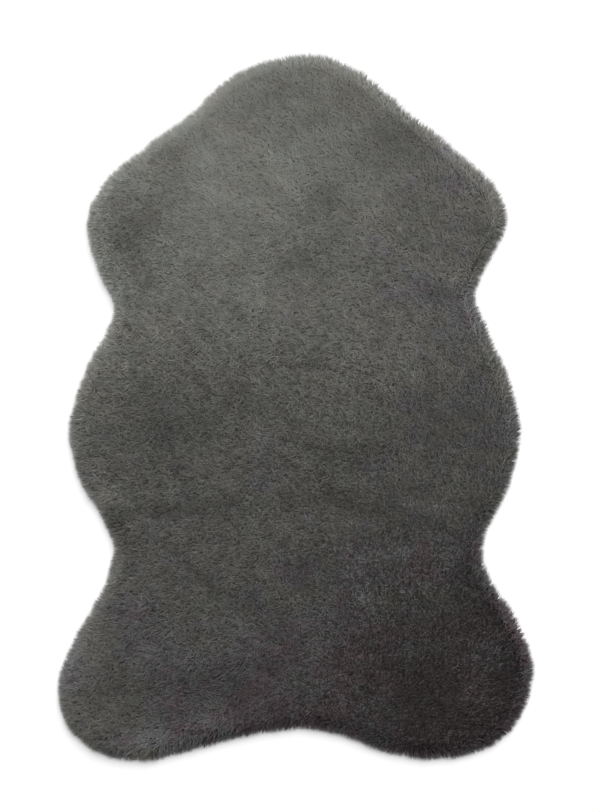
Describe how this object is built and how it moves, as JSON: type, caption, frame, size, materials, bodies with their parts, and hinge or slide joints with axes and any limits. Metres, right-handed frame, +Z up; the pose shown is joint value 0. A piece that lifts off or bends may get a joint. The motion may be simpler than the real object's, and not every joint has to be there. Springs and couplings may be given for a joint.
{
  "type": "shag rug",
  "caption": "Flat sheepskin-shaped shag rug: one lumpy slab of dense grey pile with soft partings, short locks round its rim and a flat underside that lies on a floor.",
  "frame": {"origin": "on the floor, at the middle of the rug's bounding box", "axes": "+Y along the rug towards its crown, +X to the right when the crown is at the top, +Z up from the floor through the pile"},
  "size_m": [0.606, 0.897, 0.0266],
  "materials": {
    "pile": "dense warm grey faux-fur pile of fine crimped fibre, matt, brushed in uneven directions and parted in places",
    "ground_cloth": "plain knitted ground cloth that the pile is locked into, matt, seen from below only"
  },
  "bodies": {
    "root": {"rug": "pile"}
  },
  "joints": []
}
